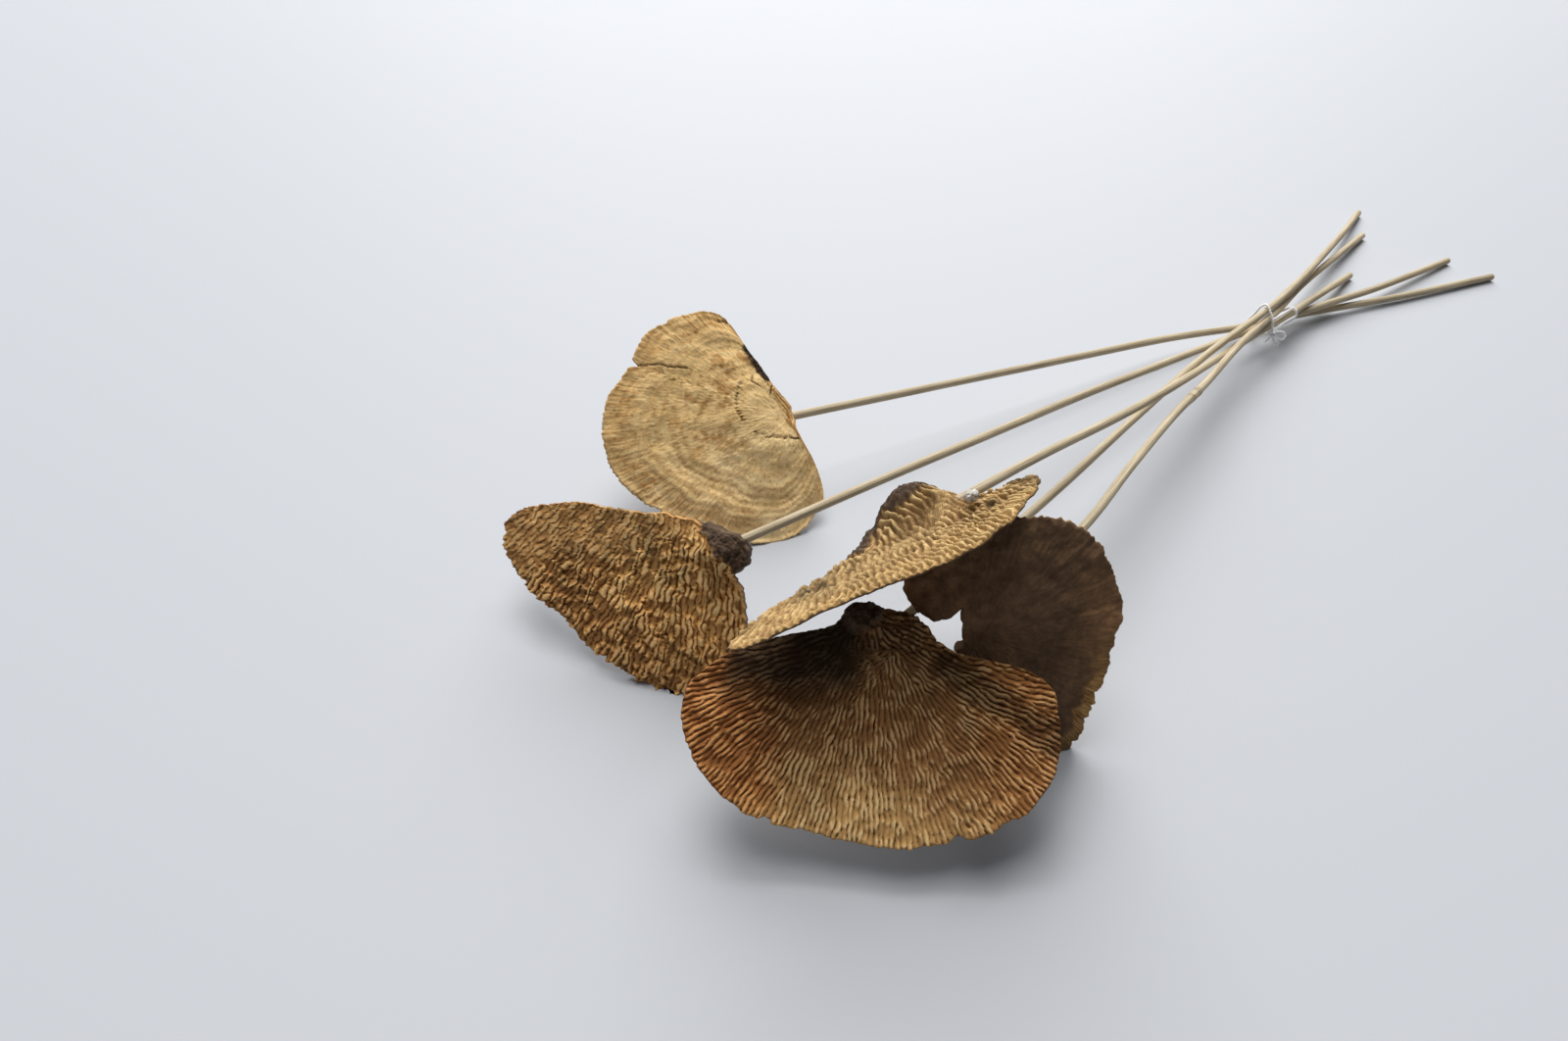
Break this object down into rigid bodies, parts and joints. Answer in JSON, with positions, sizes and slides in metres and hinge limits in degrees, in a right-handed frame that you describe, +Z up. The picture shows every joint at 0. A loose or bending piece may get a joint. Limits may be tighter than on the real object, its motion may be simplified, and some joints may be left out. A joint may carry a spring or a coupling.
{
  "type": "tied bunch of dried bracket mushrooms",
  "caption": "Dried bracket fungus caps with gilled undersides on long pale reed stems, bound together with white string.",
  "frame": {"origin": "centre of the bunch's bounding box on the surface it lies on", "axes": "+X along the stems towards their cut ends, +Z up from the surface"},
  "size_m": [0.5331, 0.2359, 0.0868],
  "materials": {
    "cap_tan": "matt, velvety, concentric zones",
    "cap_brown": "matt, fibrous, torn gill edges",
    "cap_cream": "matt, porous, pale rim",
    "cap_orange": "matt, finely ridged with pale edges",
    "cap_dark": "matt, leathery and dark",
    "string": "matt cotton twist",
    "glue": "cloudy, slightly glossy",
    "reed": "smooth dry cane, slight sheen"
  },
  "bodies": {
    "root": {"cap_zoned": "cap_tan", "cap_shaggy": "cap_brown", "cap_upturned": "cap_cream", "cap_front": "cap_orange", "cap_upright": "cap_dark", "tie": "string", "glue_blob": "glue", "stem_zoned": "reed", "stem_shaggy": "reed", "stem_upturned": "reed", "stem_front": "reed", "stem_upright": "reed"}
  },
  "joints": []
}
